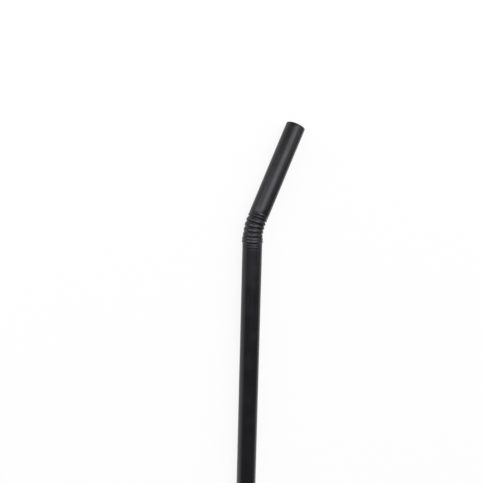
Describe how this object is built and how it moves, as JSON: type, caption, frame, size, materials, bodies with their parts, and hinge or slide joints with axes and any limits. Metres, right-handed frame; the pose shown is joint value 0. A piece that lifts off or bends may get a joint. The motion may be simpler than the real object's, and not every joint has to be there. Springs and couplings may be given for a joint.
{
  "type": "flexible drinking straw",
  "caption": "Thin round plastic tube with a corrugated flex section, bent over towards its short mouth end and lying on its side.",
  "frame": {"origin": "centre of the long leg's cut end, on the tube's axis", "axes": "+Y along the long leg towards the flex section, +X the side that the short leg bends to, +Z square to the plane of the bend"},
  "size_m": [0.019, 0.2086, 0.0064],
  "materials": {
    "black_plastic": "satin"
  },
  "bodies": {
    "root": {"straw": "black_plastic"}
  },
  "joints": []
}
